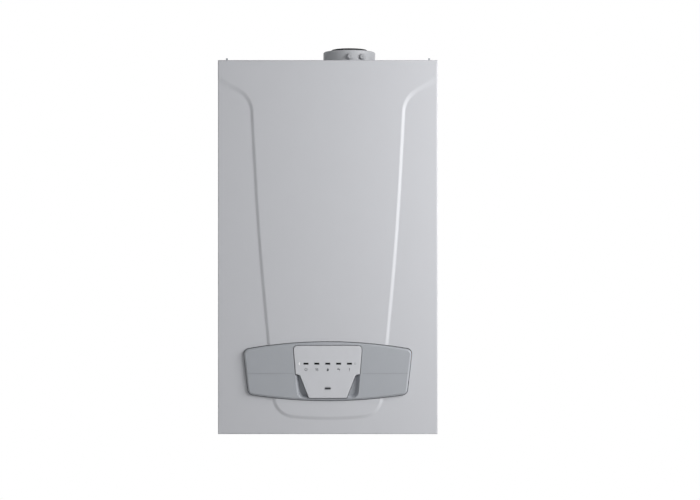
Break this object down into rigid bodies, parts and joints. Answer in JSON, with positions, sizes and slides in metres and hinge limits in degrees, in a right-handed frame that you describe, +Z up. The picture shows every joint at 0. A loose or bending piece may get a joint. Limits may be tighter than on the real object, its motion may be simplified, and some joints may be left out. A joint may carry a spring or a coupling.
{
  "type": "wall-hung condensing gas boiler",
  "caption": "Wall-hung condensing gas boiler: light grey sheet casing with a raised central field, bowed grey control fascia, pull-out lamp module and concentric flue collar.",
  "frame": {"origin": "on the wall plane, midway between the two hanging holes", "axes": "+X right for someone facing the boiler, +Y into the wall, +Z up"},
  "size_m": [0.45, 0.3515, 0.809],
  "materials": {
    "casing_paint": "fine matt powder coat, light grey",
    "zinc_sheet": "galvanised sheet",
    "fascia_plastic": "grained moulding",
    "module_plastic": "fine-grained moulding",
    "lamp_window": "dark light guide",
    "button_plastic": "dark push button",
    "cast_light_alloy": "as cast",
    "flue_plastic": "exhaust-grade plastic",
    "seal_rubber": "matt",
    "foam_rubber": "closed-cell foam",
    "zinc_fastener": "zinc plated",
    "port_plastic": "moulded cap",
    "stainless": "stainless",
    "electrode_ceramic": "glazed insulator",
    "vessel_paint": "red gloss paint",
    "copper_tube": "drawn copper",
    "brass_body": "machined brass",
    "block_composite": "glass-filled moulding",
    "motor_black": "black moulding",
    "pump_iron": "coated casting",
    "knob_red": "red hand knob",
    "knob_blue": "blue hand knob",
    "trap_plastic": "natural moulding",
    "circuit_board": "circuit board"
  },
  "bodies": {
    "casing": {"air_gas_manifold": "cast_light_alloy", "back_frame": "zinc_sheet", "bottom_plate": "zinc_sheet", "burner_door": "cast_light_alloy", "burner_electrodes": "electrode_ceramic", "burner_tube": "stainless", "cable_grommets": "seal_rubber", "collar_screws": "zinc_fastener", "condensate_hose": "seal_rubber", "condensate_sump": "flue_plastic", "condensate_trap": "trap_plastic", "control_box": "motor_black", "control_box_lid": "motor_black", "cover_gasket": "foam_rubber", "cover_screws": "zinc_fastener", "diverter_motor": "motor_black", "door_nuts": "zinc_fastener", "exchanger_coil": "stainless", "exchanger_rails": "zinc_sheet", "exchanger_shell": "stainless", "expansion_vessel": "vessel_paint", "fan_housing": "cast_light_alloy", "fan_motor": "motor_black", "fascia": "fascia_plastic", "flow_block": "block_composite", "flow_pipe": "copper_tube", "flue_collar": "cast_light_alloy", "flue_lip_seal": "seal_rubber", "flue_pipe": "flue_plastic", "flue_socket": "flue_plastic", "gas_inlet_pipe": "copper_tube", "gas_mixer": "cast_light_alloy", "gas_mixer_pipe": "copper_tube", "gas_valve": "cast_light_alloy", "large_stubs": "brass_body", "left_side_panel": "casing_paint", "main_board": "circuit_board", "plate_exchanger": "stainless", "pump_housing": "pump_iron", "pump_motor": "pump_iron", "relief_valve": "brass_body", "return_block": "block_composite", "return_pipe": "copper_tube", "right_side_panel": "casing_paint", "sampling_plugs": "port_plastic", "small_stubs": "brass_body", "top_plate": "zinc_sheet", "vessel_pipe": "copper_tube", "water_sensors": "motor_black"},
    "front_cover": {"front_cover": "casing_paint"},
    "interface_module": {"module_front": "module_plastic", "module_back": "module_plastic", "light_guides": "lamp_window", "module_board": "circuit_board"},
    "module_button": {"module_button": "button_plastic"},
    "fan_wheel": {"fan_impeller": "cast_light_alloy"},
    "pump_wheel": {"pump_rotor": "pump_iron"},
    "diverter_spool": {"diverter_stem": "stainless"},
    "relief_handle": {"relief_knob": "knob_red"},
    "fill_handle": {"fill_knob": "knob_blue"}
  },
  "joints": [
    {"name": "cover_pull", "type": "slide", "parent": "casing", "child": "front_cover", "axis": [0, -1, 0], "range_m": [0, 0.25]},
    {"name": "module_pull", "type": "slide", "parent": "casing", "child": "interface_module", "axis": [0, -1, 0], "range_m": [0, 0.06]},
    {"name": "button_press", "type": "slide", "parent": "interface_module", "child": "module_button", "axis": [0, 1, 0], "range_m": [0, 0.0012], "stiffness_N_per_m": 900},
    {"name": "fan_spin", "type": "hinge", "parent": "casing", "child": "fan_wheel", "pos_m": [0.132, -0.2685, -0.134], "axis": [0, -1, 0], "continuous": true},
    {"name": "pump_spin", "type": "hinge", "parent": "casing", "child": "pump_wheel", "pos_m": [0.125, -0.125, -0.564], "axis": [0, -1, 0], "continuous": true},
    {"name": "diverter_shift", "type": "slide", "parent": "casing", "child": "diverter_spool", "axis": [0, 0, -1], "range_m": [0, 0.008]},
    {"name": "relief_turn", "type": "hinge", "parent": "casing", "child": "relief_handle", "pos_m": [-0.06375, -0.149, -0.6625], "axis": [0, -1, 0], "range_deg": [0, 90]},
    {"name": "fill_turn", "type": "hinge", "parent": "casing", "child": "fill_handle", "pos_m": [0.104, -0.172, -0.6905], "axis": [0, 0, -1], "range_deg": [0, 180]}
  ]
}
